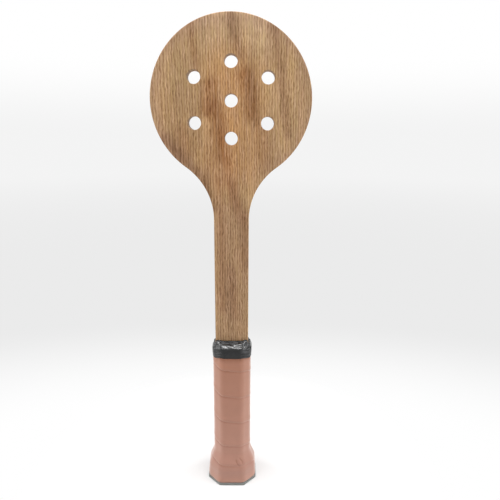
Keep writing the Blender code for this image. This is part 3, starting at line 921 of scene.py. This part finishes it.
def make_wound_strip_tree():
    floats = (
        "Foot", "Top", "Butt Pitch", "Pitch", "Butt Turns", "First Turn", "Last Turn", "Lap", "Rise",
        "Tuck", "Thickness", "Edge Round", "Waver", "Level Front", "Ripple", "Crease",
    )
    others = {"Section": GEOMETRY, "Form": OBJECT, "Columns": COUNT, "Rows": COUNT, "Material": MATERIAL}
    g, given, ends = new_tree("GeometryNodeTree", "Wound strip", floats, others, {"Strip": GEOMETRY})
    lap = given.Lap

    # The flat strip: its turn and its share across, with more rows near the edges.
    strip = g.shape("MeshGrid", Size_X=1.0, Size_Y=1.0, Vertices_X=given.Columns, Vertices_Y=given.Rows)
    strip = g.shape("FlipFaces", Mesh=strip)
    flat_x, flat_y, _ = g.split(g.shape("InputPosition"))
    strip = g.keep(strip, "turn", g.mix(flat_x + 0.5, given.First_Turn, given.Last_Turn))
    strip = g.keep(strip, "across", g.math("SINE", flat_y * math.pi) * 0.5 + 0.5)
    turn = g.kept("turn")

    def seam(at_turn):
        """The height of the lower edge: close turns over the butt, a slight sway, nearly level in front."""
        butt = g.math("MINIMUM", at_turn, given.Butt_Turns) * given.Butt_Pitch
        above = g.math("MAXIMUM", at_turn - given.Butt_Turns, 0.0) * given.Pitch
        sway = (g.noise(g.join(at_turn, 0.0, 0.0), scale=SWAY_CELLS) - 0.5) * given.Waver
        swing = g.math("SINE", (at_turn - FRONT_SHARE) * (2 * math.tau)) * given.Level_Front
        return given.Foot + (above + butt) + sway - swing

    low = g.math("MAXIMUM", seam(turn), given.Foot)
    high = g.math("MINIMUM", seam(turn + 1.0) + lap, given.Top)
    height = g.mix(g.kept("across"), low, high)
    above_low = height - low
    below_high = high - height

    # The place on the form, and the way out from it.
    section = g.shape("MeshToCurve", Mesh=given.Section)
    way = g.shape("SampleCurve", "Position", Curves=section, Factor=g.math("FRACT", turn), mode="FACTOR")
    tangent_x, tangent_y, _ = g.split(way.beside("Tangent"))
    out = g.join(tangent_y * -1.0, tangent_x, 0.0)
    place = g.shape(
        "Raycast",
        "Hit Position",
        Target_Geometry=g.shape("ObjectInfo", "Geometry", Object=given.Form),
        Source_Position=g.join(0.0, 0.0, height),
        Ray_Direction=way * (1, 1, 0),
        Ray_Length=1.0,
    )

    # Over the turn below, under the turn above, not quite even between, and folded at the crease.
    over = g.fall(above_low, lap, lap + RISE_REACH) * g.ramp(turn, -RISE_BEGINS, RISE_BEGINS) * given.Rise
    under = g.fall(below_high, lap * 0.5, lap + TUCK_REACH) * given.Tuck
    ripple = g.noise(g.join(turn, height, 0.0) * RIPPLE_CELLS, detail=3) - 0.5
    from_crease = place - CREASE_PLACE
    near = g.fall(g.length(from_crease), *CREASE_FADE)
    waver = g.noise(from_crease, scale=CREASE_CELLS, detail=1) * CREASE_WAVER
    slant = waver + g.dot(from_crease, CREASE_WAY)
    folds = g.math("COSINE", (slant - CREASE_START) * (math.tau / CREASE_SPACING)) * near
    lift = ripple * given.Ripple + (over - under) + folds * given.Crease

    # The edges of the grid, and the thickness that fades towards them.
    end_room = (0.5 - g.math("ABSOLUTE", flat_x)) * ROUGH_LENGTH
    from_edge = g.math("MINIMUM", g.math("MINIMUM", above_low, below_high), end_room)
    strip = g.keep(strip, "from_edge", from_edge)
    strip = g.keep(strip, "to_seam", below_high - lap)
    strip = g.keep(strip, "fold", folds)
    strip = g.keep(strip, "out", out, "FLOAT_VECTOR")
    strip = g.shape("SetPosition", Geometry=strip, Position=place + out * lift)
    short = 1.0 - g.ramp(g.kept("from_edge"), 0.0, given.Edge_Round, shape="LINEAR")
    full = g.math("SQRT", 1.0 - short * short)
    sideways = g.split(g.shape("InputPosition"))[0]
    cut = g.ramp(sideways, *CUT_SIDES, *CUT_SHARES)
    thick = g.mix(full, cut, 1.0) * given.Thickness
    outer = g.shape("ExtrudeMesh", Mesh=strip, Offset_Scale=0.0, Individual=False)
    offset = g.kept("out", "FLOAT_VECTOR") * thick
    outer = g.shape("SetPosition", Geometry=outer, Selection=outer.beside("Top"), Offset=offset)
    whole = g.gather(outer, g.shape("FlipFaces", Mesh=strip))
    g.deliver(whole, ("turn", "across", "out"), given.Material, ends["Strip"])
    return g.tree


wound_strip = make_wound_strip_tree()
print("wound strip:", len(wound_strip.nodes), "nodes")

# %% Forms to wind on
FORM_ROWS = 120
FORM_FOOT = -2 * MM
FORM_TOP = WRAP_TOP + 4 * MM


def loft(name, rings):
    """A closed mesh through rings of points, with the first and the last ring filled."""
    count = len(rings[0])
    last = (len(rings) - 1) * count
    faces = []
    for row in range(0, last, count):
        for i in range(count):
            j = (i + 1) % count
            faces.append((row + j, row + i, row + count + i, row + count + j))
    faces.append(tuple(range(count)))
    faces.append(tuple(last + i for i in reversed(range(count))))
    return new_mesh(name, [point for ring in rings for point in ring], faces)


def make_form(depth, soft):
    """The handle and cap as one smooth skin at a depth, only to wind on."""
    heights = np.linspace(FORM_FOOT, FORM_TOP, FORM_ROWS)
    rings = [at_height(handle_outline(flare(max(z, 0)), depth, soft), z) for z in heights]
    return add_object("winding form", loft("winding form", rings))


# %% Wind the cushion and the overgrip
CUSHION_SOFTNESS = 3.0 * MM
GRIP_SOFTNESS = 5.5 * MM
BUTT_TURNS = 2.0
FIRST_WIDTH = 2.5 * MM
LAST_WIDTH = 4 * MM
STRIP_CREASE = 50


def wind(name, depth, soft, foot, butt, pitch, lap, **sizes):
    """Winds a strip whose inner side lies at this depth over the handle, with both ends cut slantwise."""
    form = make_form(depth, soft)
    section = handle_outline(0, depth, soft)
    above_butt = WRAP_TOP - LAST_WIDTH - foot - BUTT_TURNS * butt
    piece = run_tree(
        name,
        wound_strip,
        new_mesh("section", at_height(section, 0), loop=len(section)),
        Form=form,
        Foot=foot,
        Top=WRAP_TOP,
        Butt_Pitch=butt,
        Pitch=pitch,
        Butt_Turns=BUTT_TURNS,
        Lap=lap,
        First_Turn=(FIRST_WIDTH - lap) / butt - 1,
        Last_Turn=BUTT_TURNS + above_butt / pitch,
        **sizes,
    )
    bpy.data.objects.remove(form)
    piece.data.set_sharp_from_angle(angle=math.radians(STRIP_CREASE))
    return piece


base_grip = wind(
    "base_grip_strip",
    depth=0.3 * MM,
    soft=CUSHION_SOFTNESS,
    foot=WRAP_FOOT,
    butt=21 * MM,
    pitch=25 * MM,
    lap=-0.5 * MM,
    Thickness=1.1 * MM,
    Edge_Round=0.8 * MM,
    Columns=900,
    Rows=10,
    Material=cushion,
)
overgrip = wind(
    "salmon_overgrip",
    depth=1.9 * MM,
    soft=GRIP_SOFTNESS,
    foot=WRAP_FOOT - 1.0 * MM,
    butt=20.5 * MM,
    pitch=28.4 * MM,
    lap=2.2 * MM,
    Rise=0.22 * MM,
    Tuck=0.3 * MM,
    Thickness=0.7 * MM,
    Edge_Round=2.2 * MM,
    Waver=1.2 * MM,
    Level_Front=1.6 * MM,
    Ripple=0.12 * MM,
    Crease=0.3 * MM,
    Columns=1250,
    Rows=34,
    Material=salmon,
)

# %% [markdown]
# ## The vinyl collar
#
# A strip of black tape closes the grip's upper end. It goes round a little more than twice, half of it on
# the grip and half reaching in to the slimmer shaft, where it has too much length and falls into small
# crumples. A cloth simulation would need minutes to settle such a thin stiff film, so the strip is laid by
# rule, column by column: up the grip, over a round shoulder, across to the shaft and a little way up it.
# Then the folds are pushed in along the film's own normals, most where the film has nothing under it.

# %% The path of the collar
TAPE_TURNS = 2.35
TAPE_START = 0.40
TAPE_COLUMNS = 350
TAPE_FILM = 0.16 * MM
TAPE_FIRST_DEPTH = 2.8 * MM
TAPE_LAYER = 0.18 * MM
BOARD_EDGE = 0.6 * MM
HEADING_REACH = 0.4 * MM
# Fractal noise: how fast its octaves fade, how much finer each is than the last, and their number.
OCTAVES = (0.5, 2.0, 3)


def unit(vectors):
    return vectors / np.linalg.norm(vectors, axis=-1, keepdims=True)


def walk_round(outline, shares):
    """Places and outward directions on a closed outline at shares of its length."""
    loop = np.vstack((outline, outline[:1]))
    travelled = np.concatenate(([0], np.cumsum(np.hypot(*np.diff(loop, axis=0).T))))
    girth = travelled[-1]

    def places_at(spots):
        return np.column_stack([np.interp(spots % girth, travelled, axis) for axis in loop.T])

    at = (shares % 1) * girth
    heading = places_at(at + HEADING_REACH) - places_at(at - HEADING_REACH)
    return places_at(at), unit(np.column_stack((-heading[:, 1], heading[:, 0])))


def shaft_places(places, depth):
    """The nearest places on the shaft's rounded section, grown by a depth."""
    flat = np.array((HALF_SHAFT, HALF_BOARD)) - BOARD_EDGE
    core = np.clip(places, -flat, flat)
    return core + unit(places - core) * (BOARD_EDGE + depth)[:, None]


def round_about(turns, cells):
    """Places on a circle that is so many noise cells long, so that noise read there closes on itself."""
    angles = math.tau * (TAPE_START + turns)
    return np.column_stack((np.cos(angles), np.sin(angles))) * cells / math.tau


def wavy(turns, cells, seed, drift=0.0):
    """Smooth noise between about -1 and 1 along the tape. With drift, each turn wavers in its own way."""
    spots = np.column_stack((round_about(turns, cells), seed + drift * turns))
    return np.array([noise.fractal(Vector(spot), *OCTAVES) for spot in spots])


# %% The bends of the lip
# Each bend has its length, the lean from upright at both ends in degrees, and its rows.
KNEE_BEND = (1.2 * MM, 0, 46, 6)
SLOPE_BEND = (None, 46, 60, 14)
BROW_BEND = (1.0 * MM, 60, 84, 5)
LEDGE_BEND = (None, 84, 84, 10)
FOOT_BEND = (0.5 * MM, 84, 0, 4)
SHORT_LEDGE = 0.3 * MM


def bend_leans(bend):
    _, first, last, rows = bend
    return np.radians(first + (last - first) * (np.arange(rows) + 0.5) / rows)[:, None]


def bend_way(bend):
    """How far a bend of length 1 goes in and up."""
    leans = bend_leans(bend)
    return np.array((np.sin(leans).mean(), np.cos(leans).mean()))[:, None]


def lip_bends(run, rise):
    """The leans and lengths of the bends of a lip that goes this far in and up. The slope and the ledge
    share what the short bends leave. Where that is too little for a ledge, the slope goes straight."""
    left_over = np.array((run, rise))
    for bend in (KNEE_BEND, BROW_BEND, FOOT_BEND):
        left_over = left_over - bend[0] * bend_way(bend)
    slope, ledge = np.linalg.solve(np.hstack((bend_way(SLOPE_BEND), bend_way(LEDGE_BEND))), left_over)
    short = ledge < SHORT_LEDGE
    ledge = np.maximum(ledge, SHORT_LEDGE)
    straight = left_over - ledge * bend_way(LEDGE_BEND)
    slope = np.where(short, np.hypot(*straight), slope)
    slope_leans = np.where(short, np.arctan2(*straight), bend_leans(SLOPE_BEND))
    yield bend_leans(KNEE_BEND), KNEE_BEND[0]
    yield slope_leans, slope
    yield bend_leans(BROW_BEND), BROW_BEND[0]
    yield bend_leans(LEDGE_BEND), ledge
    yield bend_leans(FOOT_BEND), FOOT_BEND[0]


# %% Lay the film
BAND_ROWS = 16
BAND_HEIGHT = 8.4 * MM
BAND_BULGE = 0.35 * MM
BULGE_RATE = 1.4
EDGE_ROWS = 3
TAPE_CLIMB = 0.55 * MM
TAPE_SAG = 2.0 * MM
TAPE_TOP = 154.9 * MM
TURN_UP = 0.4 * MM
SIDE_DROP = 3.0 * MM
CORNER_LIFT = 0.6 * MM
SHAFT_GAP = 0.25 * MM
# The way from the shoulder in to the shaft: at the sides, where they end, and in front.
SHORT_WAY = 2.8 * MM
SIDE_WAY = 4.3 * MM
LONG_WAY = 9.8 * MM
SIDE_FADE = 1.2 * MM
CORNER_FADE = 2.0 * MM
FOOT_WAVER = 0.25 * MM
KNEE_WAVER = 0.3 * MM
TOP_WAVER = 0.35 * MM


def collar_film():
    """The film's outer side as a grid of points: columns round the handle, rows from foot to lip."""
    turns = np.linspace(0, TAPE_TURNS, int(TAPE_TURNS * TAPE_COLUMNS))
    layers = TAPE_LAYER * turns
    places, out = walk_round(handle_outline(0, TAPE_FIRST_DEPTH, GRIP_SOFTNESS), TAPE_START + turns)
    places = places + out * layers[:, None]
    shoulder = places + out * BAND_BULGE
    inward = shaft_places(shoulder, SHAFT_GAP + layers) - shoulder
    run = np.hypot(*inward.T)
    inward = unit(inward)
    long_way = smooth_step((run - SHORT_WAY) / (LONG_WAY - SHORT_WAY))
    beside = smooth_step((SIDE_WAY - run) / SIDE_FADE)
    corner = smooth_step((run - SIDE_WAY) / SIDE_FADE) * smooth_step((LONG_WAY - run) / CORNER_FADE)

    # The band, a little fuller towards the top, where the ends of the wraps lie under it.
    foot = TAPE_FOOT + TAPE_CLIMB * turns - TAPE_SAG * (1 - long_way)
    foot = foot + FOOT_WAVER * wavy(turns, cells=6, seed=1, drift=0.9)
    knee = foot + BAND_HEIGHT + KNEE_WAVER * wavy(turns, cells=9, seed=2)
    grid = []
    for share in np.linspace(0, 1, BAND_ROWS, endpoint=False):
        fuller = places + (shoulder - places) * smooth_step(share * BULGE_RATE)
        grid.append(np.column_stack((fuller, foot + (knee - foot) * share)))

    # The lip bows in as far as the shaft is away and climbs to the same top, a little lower at the sides.
    top = TAPE_TOP + layers - SIDE_DROP * beside + CORNER_LIFT * corner
    top = top + TOP_WAVER * wavy(turns, cells=11, seed=3)
    across = np.zeros(len(run))
    height = knee
    for leans, length in lip_bends(run, top - TURN_UP - knee):
        for lean in leans:
            grid.append(np.column_stack((shoulder + inward * across[:, None], height)))
            across = across + length / len(leans) * np.sin(lean)
            height = height + length / len(leans) * np.cos(lean)
    for share in np.linspace(0, 1, EDGE_ROWS):
        grid.append(np.column_stack((shoulder + inward * across[:, None], height + TURN_UP * share)))
    return np.stack(grid, axis=1), turns


film, film_turns = collar_film()
print(f"collar: {film.shape[0]} columns, {film.shape[1]} rows")

# %% Crumple it
FOLD_HEIGHT = 0.22 * MM
FOLD_LENGTH = 13 * MM
FOLD_WIDTH = 3.0 * MM
FOLD_SLANT = 2.6 * MM
FOLD_SEED = 10.6
FOLD_STEP = 7
GRIP_GIRTH = 115 * MM
LINE_HEIGHT = 0.03 * MM
LINE_WIDTH = 1.25 * MM
LINE_SHARE = 0.6
LINE_SEED = 20
# Two sets of folds cross: the noise cells in a turn, and the seed, by which each is slanted.
SLANT_WAVES = ((7, 5), (6, 8))
# Rows over which the folds begin above the band and fade again below the edge, and what is left of them.
FOLDS_BEGIN = 8
FOLDS_END = 5
FOLDS_LEFT = 0.2


def grid_normals(grid):
    """Outward unit normals of a grid of points."""
    return unit(np.cross(np.gradient(grid, axis=1), np.gradient(grid, axis=0)))


def way_up(grid):
    """How far each point lies along the film from the start of the shoulder."""
    steps = np.linalg.norm(np.diff(grid, axis=1), axis=2)
    travelled = np.concatenate((np.zeros((len(grid), 1)), np.cumsum(steps, axis=1)), axis=1)
    return travelled - travelled[:, BAND_ROWS : BAND_ROWS + 1]


def crumples(grid, turns):
    """How far the film is pushed out: long slanting folds round the lip and fine lines on the band."""
    columns, rows = grid.shape[:2]
    pushed = np.zeros((columns, rows))
    rise = way_up(grid)
    round_trip = round_about(turns, GRIP_GIRTH / FOLD_LENGTH)
    slants = [FOLD_SLANT * wavy(turns, cells, seed) for cells, seed in SLANT_WAVES]
    last = rows - EDGE_ROWS - FOLDS_END - 1
    for j in range(rows):
        free = smooth_step((j - BAND_ROWS - 1) / FOLDS_BEGIN)
        free *= 1 - (1 - FOLDS_LEFT) * smooth_step((j - last) / FOLDS_END)
        for i in range(columns):
            folds = 0
            for number, slant in enumerate(slants):
                up = (rise[i, j] + slant[i]) / FOLD_WIDTH
                folds += noise.noise(Vector((*round_trip[i], up + FOLD_STEP * number + FOLD_SEED)))
            lines = Vector((*(round_trip[i] * LINE_SHARE), rise[i, j] / LINE_WIDTH + LINE_SEED))
            pushed[i, j] = FOLD_HEIGHT * free * folds + LINE_HEIGHT * noise.noise(lines)
    return pushed


outer = film + grid_normals(film) * crumples(film, film_turns)[:, :, None]
inner = outer - grid_normals(outer) * TAPE_FILM
print(f"collar top {1000 * outer[:, :, 2].max():.1f} mm, foot {1000 * outer[:, :, 2].min():.1f} mm")

# %% Give the film its thickness
FILM_WIDTH = 20.5 * MM
FILM_CREASE = 70


def film_mesh(name, outer, inner, turns, level):
    """A closed strip between two grids. It keeps for the material how far along and across it each point
    lies, and how level the film is there."""
    columns, rows = outer.shape[:2]
    total = columns * rows
    index = np.arange(total).reshape(columns, rows)
    skin = np.stack((index[:-1, :-1], index[:-1, 1:], index[1:, 1:], index[1:, :-1]), axis=2).reshape(-1, 4)
    rim = np.concatenate((index[:, 0], index[-1, 1:], index[-2::-1, -1], index[0, -2:0:-1]))
    onward = np.roll(rim, -1)
    edge = np.column_stack((rim, onward, total + onward, total + rim))
    faces = np.vstack((skin, total + skin[:, ::-1], edge))
    points = np.vstack((outer.reshape(-1, 3), inner.reshape(-1, 3)))
    mesh = new_mesh(name, points.tolist(), faces.tolist())
    length = np.repeat(turns * GRIP_GIRTH, rows)
    across = np.tile(np.linspace(0, FILM_WIDTH, rows), columns)
    pull = np.column_stack((length, across, level.ravel()))
    kept = mesh.attributes.new("pull", "FLOAT_VECTOR", "POINT")
    kept.data.foreach_set("vector", np.vstack((pull, pull)).ravel())
    return mesh


collar_mesh = film_mesh("vinyl_collar", outer, inner, film_turns, grid_normals(film)[:, :, 2])
collar = smooth_piece("vinyl_collar", collar_mesh, FILM_CREASE, vinyl)
print(f"collar: {len(collar_mesh.polygons)} faces")

# %% [markdown]
# ## The butt cap
#
# The cap is a moulded rubber cup that goes over the handle's end. Its rim stands under the grip with eased
# edges, and its flare is what gives the butt its spread. It is a loft of the handle's own sections, so it
# fits the handle's spigot inside and the wound strips outside.

# %% Loft the cap
RIM_HEIGHT = 2.3 * MM
RIM_DEPTH = 2.7 * MM
FOOT_EASE = 0.6 * MM
FOOT_STEPS = 5
RIM_EASE = 0.25 * MM
RIM_STEPS = 4
CAP_FLOOR = 3.0 * MM
CAP_ROWS = 40
CAP_CREASE = 40


def make_cap():
    rim = flare(0)
    rings = []
    for angle in np.linspace(0, math.pi / 2, FOOT_STEPS):
        outline = handle_outline(rim, RIM_DEPTH - FOOT_EASE * (1 - math.sin(angle)))
        rings.append(at_height(outline, FOOT_EASE * (1 - math.cos(angle))))
    for angle in np.linspace(0, math.pi / 2, RIM_STEPS):
        outline = handle_outline(rim, RIM_DEPTH - RIM_EASE * (1 - math.cos(angle)))
        rings.append(at_height(outline, RIM_HEIGHT - RIM_EASE * (1 - math.sin(angle))))
    for height in np.linspace(RIM_HEIGHT, CAP_HEIGHT, CAP_ROWS):
        rings.append(at_height(handle_outline(flare(height), 0), height))
    socket = handle_outline(-SPIGOT_STEP, FIT_GAP)
    rings += [at_height(socket, CAP_HEIGHT), at_height(socket, CAP_FLOOR)]
    return smooth_piece("moulded_butt_cap", loft("moulded_butt_cap", rings), CAP_CREASE, cap_rubber)


butt_cap = make_cap()
print(f"cap: {len(butt_cap.data.polygons)} faces")

# %% [markdown]
# ## What the wraps hide
#
# The two scales and the two staples have the right shape already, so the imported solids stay. They are only
# given their own finish: sanded beech with fine rings, and zinc plated wire with drawing lines along it.

# %% Beech and zinc
BEECH_PALE = (0.55, 0.37, 0.23, 1)
BEECH_RING = (0.42, 0.25, 0.14, 1)
BEECH_PORE = (0.26, 0.13, 0.07, 1)
ZINC_DARK = (0.52, 0.53, 0.55, 1)
ZINC_BRIGHT = (0.68, 0.68, 0.67, 1)
DRAWN_CELLS = (300, 4000, 9000)


def make_beech():
    material, g, shader = new_material("sanded beech", Specular_IOR_Level=0.3)
    figure = g.group(
        wood_figure,
        Pith=(0.20, 0.31, 0.0),
        Lean=(0.01, 0.0, 0.0),
        Ring_Spacing=1.6 * MM,
        Waver=3 * MM,
        Pore_Width=0.18 * MM,
        Pore_Length=2.5 * MM,
    )
    colour = g.blend(figure.Streak * 0.5, BEECH_PALE, BEECH_RING)
    g.feed(shader["Base Color"], g.blend(figure.Pores * 0.35, colour, BEECH_PORE))
    g.feed(shader["Roughness"], g.ramp(figure.Fibre, 0.2, 0.8, 0.6, 0.75))
    g.bump(shader, figure.Fibre, strength=0.3, distance=0.05 * MM)
    return material


def make_zinc():
    material, g, shader = new_material("zinc wire", Metallic=1.0)
    drawn = g.noise(g.place() * DRAWN_CELLS, detail=3)
    g.feed(shader["Base Color"], g.blend(drawn, ZINC_DARK, ZINC_BRIGHT))
    g.feed(shader["Roughness"], g.ramp(drawn, *MOST_NOISE, 0.28, 0.45))
    g.bump(shader, drawn, strength=0.3, distance=0.01 * MM)
    return material


beech = make_beech()
zinc = make_zinc()
for node, finish in (
    ("handle_scale_front", beech),
    ("handle_scale_back", beech),
    ("cap_staple_left", zinc),
    ("cap_staple_right", zinc),
):
    frame["nodes"][node].material_slots[0].material = finish
    print(node, "is", finish.name)

# %% [markdown]
# ## Lights, floor and camera
#
# The photograph was taken in soft light from above and from both sides, on white. A picture of a real room
# would light the paddle too, but its lamps can't be moved one by one. So there are six plain soft boxes:
# one overhead, a narrow key above the front that draws the gloss on the collar, one at each side and a rim
# lamp behind each side. The floor is paper that takes the shadow close to the paddle. Further off it shows
# as plain white that shades to pale grey. The world is as pale to the camera and in reflections, and gives
# everything else a soft fill.

# %% Camera
FOCAL_PIXELS = 453.25
PICTURE_PIXELS = 500
SENSOR_WIDTH = 36
CAMERA_PLACE = (0.0166, -0.41608, 0.3512)
PITCH = math.atan(0.2538)
ROLL = 0.0065

camera_data = bpy.data.cameras.new("camera")
camera_data.sensor_width = SENSOR_WIDTH
camera_data.lens = SENSOR_WIDTH * FOCAL_PIXELS / PICTURE_PIXELS
camera_data.clip_start = 0.01
camera = add_object("camera", camera_data)
turned = Matrix.Rotation(-ROLL, 4, "Y") @ Matrix.Rotation(math.pi / 2 - PITCH, 4, "X")
camera.matrix_world = Matrix.Translation(CAMERA_PLACE) @ turned
bpy.context.scene.camera = camera
bpy.context.scene.view_settings.view_transform = "Standard"
print(f"camera: {camera_data.lens:.1f} mm lens, {CAMERA_PLACE[2]:.2f} m up")

# %% Floor and world
PAPER = (0.68, 0.68, 0.68, 1)
HORIZON = 0.9
BACKDROP = 0.83
FLOOR_REACH = 40
FLOOR_DROP = 0.05 * MM
WORLD_FILL = 0.54
SKY_FADE = (0.0, 0.15)
TWICE_AS_WIDE = (0.5, 1, 1)
# Between these distances the paper stops taking the shadow, shades off, and clears again to the horizon.
SHADOW_FADE = (0.10, 0.22)
SHADE_FADE = (0.14, 0.42)
HORIZON_FADE = (0.8, 4.0)


def emptied(block):
    """The wiring of a material or a world, without the nodes it starts with."""
    block.use_nodes = True
    block.node_tree.nodes.clear()
    return Wiring(block.node_tree)


def seen_by(g, *rays):
    """1 for the camera and for these kinds of rays, 0 for all others."""
    path = g.add("ShaderNodeLightPath", output="Is Camera Ray")
    seen = path
    for ray in rays:
        seen = g.math("MAXIMUM", seen, path.beside(f"Is {ray} Ray"))
    return seen


def make_floor():
    """White paper that keeps the shadow near the paddle and shades off to pale grey behind it."""
    material = bpy.data.materials.new("studio floor")
    g = emptied(material)
    place = g.place()
    far = g.length(place)
    shade = g.ramp(g.length(place * TWICE_AS_WIDE), *SHADE_FADE, 1.0, BACKDROP)
    shade = shade * g.ramp(far, *HORIZON_FADE, 1.0, HORIZON / BACKDROP)
    near = g.add("ShaderNodeBsdfDiffuse", Color=PAPER)
    paper = g.add("ShaderNodeEmission", Color=g.grey(shade), Strength=1.0)
    shown = seen_by(g, "Glossy") * g.ramp(far, *SHADOW_FADE)
    lit = g.add("ShaderNodeMixShader", {0: shown, 1: near, 2: paper})
    underneath = g.add("ShaderNodeNewGeometry", output="Backfacing")
    clear = g.add("ShaderNodeBsdfTransparent")
    both = g.add("ShaderNodeMixShader", {0: underneath, 1: lit, 2: clear})
    g.feed(g.tree.nodes.new("ShaderNodeOutputMaterial").inputs["Surface"], both)
    signs = ((-1, -1), (1, -1), (1, 1), (-1, 1))
    corners = [(x * FLOOR_REACH, y * FLOOR_REACH, -FLOOR_DROP) for x, y in signs]
    mesh = new_mesh("floor", corners, [(0, 1, 2, 3)])
    mesh.materials.append(material)
    return add_object("floor", mesh)


def make_world():
    world = bpy.data.worlds.new("studio")
    g = emptied(world)
    height = g.split(g.add("ShaderNodeTexCoord", output="Generated"))[2]
    pale = g.grey(g.ramp(height, *SKY_FADE, HORIZON, 1.0))
    fill = g.add("ShaderNodeBackground", Color=(1, 1, 1, 1), Strength=WORLD_FILL)
    shown = g.add("ShaderNodeBackground", Color=pale, Strength=1.0)
    both = g.add("ShaderNodeMixShader", {0: seen_by(g, "Glossy", "Transmission"), 1: fill, 2: shown})
    g.feed(g.tree.nodes.new("ShaderNodeOutputWorld").inputs["Surface"], both)
    return world


floor = make_floor()
bpy.context.scene.world = make_world()
print("floor and world:", floor.name, "and", bpy.context.scene.world.name)

# %% Lamps
GRIP_AIM = (0, 0, 0.2)


def make_lamp(name, place, target, width, height, radiance):
    """A soft box that faces its target. Its power follows from how bright its face should look."""
    light = bpy.data.lights.new(name, "AREA")
    light.shape = "RECTANGLE"
    light.size = width
    light.size_y = height
    light.energy = radiance * math.pi * width * height
    lamp = add_object(name, light)
    towards = Vector(target) - Vector(place)
    lamp.matrix_world = Matrix.Translation(place) @ towards.to_track_quat("-Z", "Y").to_matrix().to_4x4()
    lamp.visible_camera = False
    print(f"{name}: {light.energy:.1f} W")


make_lamp("overhead", (0.0, -0.1, 1.6), (0, -0.1, 0.2), width=1.4, height=0.9, radiance=3.0)
make_lamp("key", (0.0, -0.25, 1.5), GRIP_AIM, width=1.0, height=0.15, radiance=16)
for side in (-1, 1):
    make_lamp("side", (1.3 * side, -0.1, 0.7), GRIP_AIM, width=1.0, height=1.2, radiance=2.3 + 0.1 * side)
    make_lamp("rim", (1.3 * side, 0.3, 1.5), GRIP_AIM, width=0.5, height=0.35, radiance=12)

# %% [markdown]
# ## Hanging the new pieces on the body
#
# Each new mesh is hung on the paddle's root body, and the imported solid that it stands in for is hidden.

# %% Hang the pieces on the body and hide what they replace
for piece, node, slot in (
    (board, "blade", "oak"),
    (base_grip, "base_grip", "cushion"),
    (overgrip, "overgrip", "salmon_grip"),
    (collar, "finishing_tape", "black_vinyl"),
    (butt_cap, "butt_cap", "cap_rubber"),
):
    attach(piece, "root")
    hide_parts(node)
